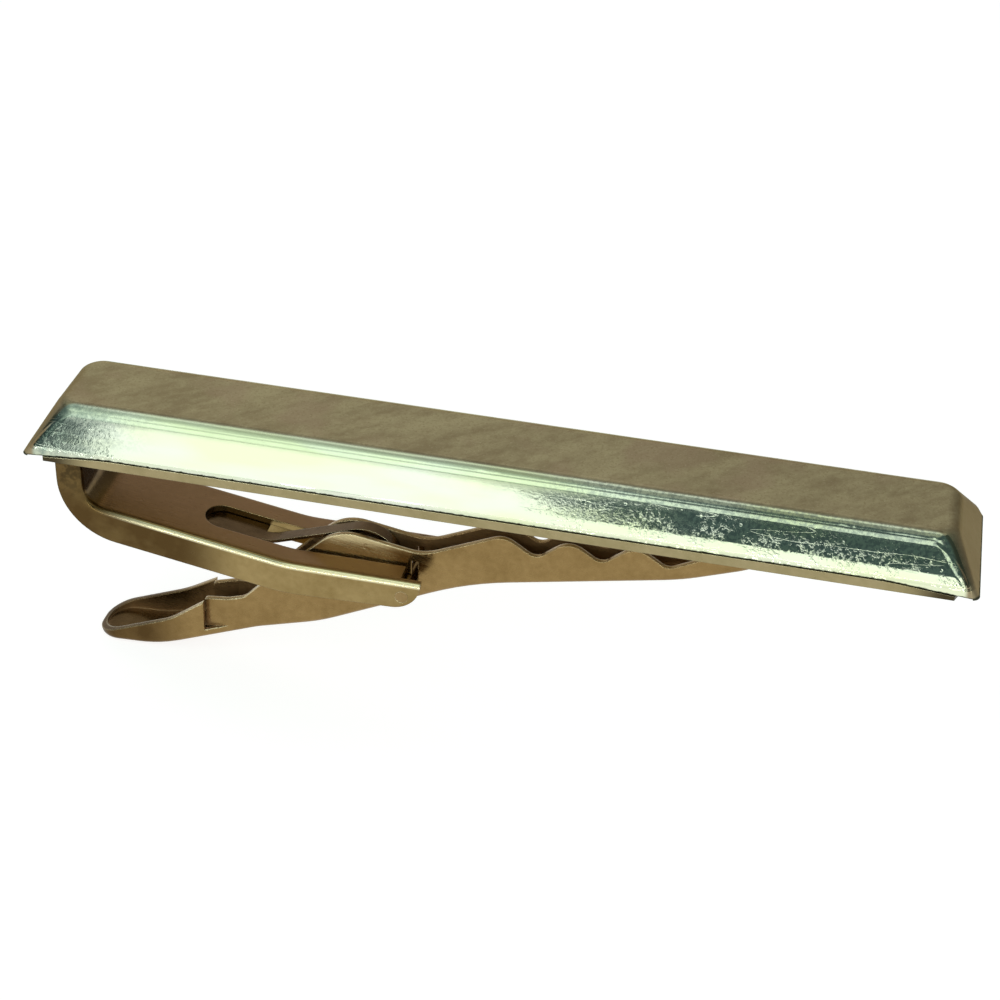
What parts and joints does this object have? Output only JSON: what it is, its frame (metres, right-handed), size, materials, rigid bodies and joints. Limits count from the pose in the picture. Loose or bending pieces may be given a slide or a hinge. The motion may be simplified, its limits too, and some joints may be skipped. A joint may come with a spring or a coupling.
{
  "type": "tie clip",
  "caption": "Bevelled bar tie clip with a slotted J bracket and a sprung toothed lever that grips a tie against the bar's back.",
  "frame": {"origin": "centre of the back plate's grip face", "axes": "+X along the bar from the bracket's upright to the free end, +Z out of the bar's front face, +Y across the bar along the pivot pin"},
  "size_m": [0.057, 0.0092, 0.0185],
  "materials": {
    "bar_gold": "satin face, polished bevels",
    "plate_gold": "satin",
    "bracket_gold": "satin",
    "lever_gold": "satin",
    "spring_steel": "rolled strip",
    "pin_gold": "satin"
  },
  "bodies": {
    "bar": {"front_bar": "bar_gold", "back_plate": "plate_gold", "bracket": "bracket_gold", "pivot_pin": "pin_gold"},
    "lever": {"jaw_lever": "lever_gold", "leaf_spring": "spring_steel"}
  },
  "joints": [
    {"name": "lever_pivot", "type": "hinge", "parent": "bar", "child": "lever", "pos_m": [-0.00525, 0, -0.00725], "axis": [0, 1, 0], "range_deg": [0, 22], "stiffness_Nm_per_rad": 0.004, "springref_deg": -17.19, "deforming": ["leaf_spring"]}
  ]
}
